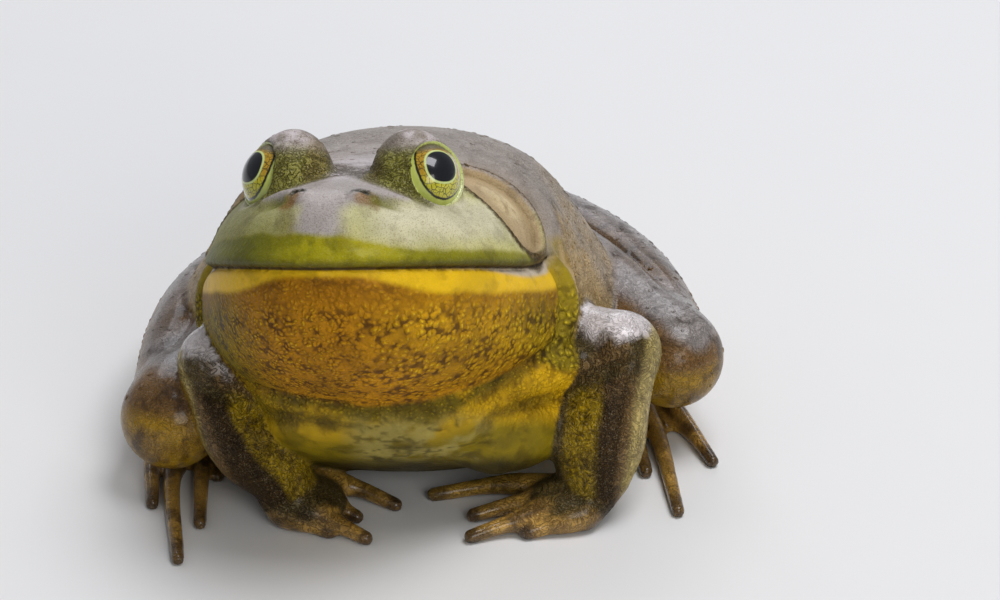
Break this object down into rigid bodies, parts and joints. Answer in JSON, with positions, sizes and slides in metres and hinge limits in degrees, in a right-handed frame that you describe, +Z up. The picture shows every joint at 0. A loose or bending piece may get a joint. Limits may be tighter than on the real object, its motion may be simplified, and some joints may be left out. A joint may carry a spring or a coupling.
{
  "type": "bullfrog",
  "caption": "Life-size still model of an adult bullfrog sitting with its head raised, hands turned in and hind legs folded.",
  "frame": {"origin": "middle of the base of the bounding box, on the floor plane that the frog sits on", "axes": "+X to the frog's left, +Y towards its rump, +Z up; the frog faces -Y"},
  "size_m": [0.1022, 0.1268, 0.0727],
  "materials": {
    "skin": "wet, glossy and finely granular skin, olive-brown above and yellow below",
    "eye": "wet, mirror-smooth eyeball, golden iris and black pupil"
  },
  "bodies": {
    "root": {"head": "skin", "lower_jaw": "skin", "trunk": "skin", "eye_left": "eye", "eye_right": "eye", "tympanum_left": "skin", "tympanum_right": "skin", "upper_arm_left": "skin", "forearm_left": "skin", "hand_left": "skin", "thigh_left": "skin", "shank_left": "skin", "tarsus_left": "skin", "foot_left": "skin", "upper_arm_right": "skin", "forearm_right": "skin", "hand_right": "skin", "thigh_right": "skin", "shank_right": "skin", "tarsus_right": "skin", "foot_right": "skin"}
  },
  "joints": []
}
